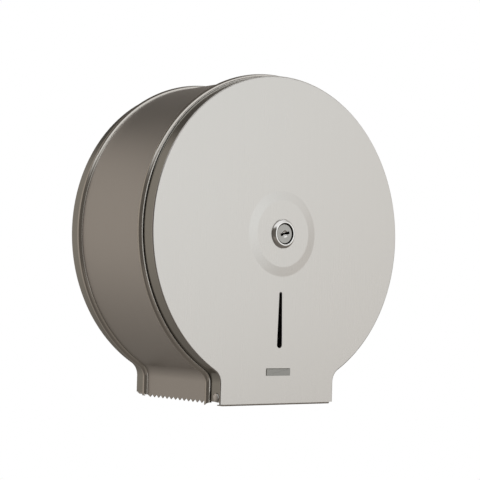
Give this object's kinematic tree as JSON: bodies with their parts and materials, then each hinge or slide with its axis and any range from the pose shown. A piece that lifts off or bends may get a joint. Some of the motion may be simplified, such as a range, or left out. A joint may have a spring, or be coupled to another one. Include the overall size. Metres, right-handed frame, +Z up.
{
  "type": "jumbo toilet roll dispenser",
  "caption": "Round wall-hung steel dispenser for a jumbo toilet roll, with a lockable drop-down cover, a toothed outlet under its neck and a turning hub for the roll's core.",
  "frame": {"origin": "on the wall plane, on the axis of the roll spindle, which is also the centre of the four wall holes", "axes": "+X to the right seen from the front, +Y into the wall along the spindle's axis, +Z up; the cover faces -Y"},
  "size_m": [0.2742, 0.1275, 0.2818],
  "materials": {
    "satin_steel": "satin brushed stainless steel sheet",
    "bright_steel": "plain rolled or turned steel, slightly bright",
    "lock_chrome": "polished nickel chrome plate on zinc",
    "black_plastic": "moulded, fine matt texture",
    "white_plastic": "moulded, satin",
    "brass": "turned brass, dull"
  },
  "bodies": {
    "casing": {"rear_casing": "satin_steel", "side_band": "satin_steel", "hinge_lug_left": "bright_steel", "hinge_lug_right": "bright_steel", "hinge_rivet_left": "bright_steel", "hinge_rivet_right": "bright_steel", "hinge_washer_left": "white_plastic", "hinge_washer_right": "white_plastic", "spindle_flange": "bright_steel", "spindle_rivets": "bright_steel", "spindle_tube": "bright_steel", "hub_thrust_washer": "white_plastic", "keeper_cup": "black_plastic", "keeper_plate": "bright_steel", "keeper_screws": "bright_steel"},
    "cover": {"front_cover": "satin_steel", "badge_plate": "bright_steel", "lock_barrel": "lock_chrome", "lock_washer": "bright_steel", "lock_nut": "brass"},
    "lock": {"lock_plug": "lock_chrome", "lock_wafers": "brass", "lock_cam": "bright_steel", "cam_washer": "bright_steel", "cam_screw": "bright_steel"},
    "hub": {"core_hub": "white_plastic", "hub_bush_rear": "black_plastic", "hub_bush_front": "black_plastic"}
  },
  "joints": [
    {"name": "cover_hinge", "type": "hinge", "parent": "casing", "child": "cover", "pos_m": [0, -0.1178, -0.1377], "axis": [1, 0, 0], "range_deg": [0, 95]},
    {"name": "lock_turn", "type": "hinge", "parent": "cover", "child": "lock", "pos_m": [0, -0.115, 0], "axis": [0, 1, 0], "range_deg": [0, 90]},
    {"name": "hub_spin", "type": "hinge", "parent": "casing", "child": "hub", "pos_m": [0, -0.055, 0], "axis": [0, 1, 0], "continuous": true}
  ]
}
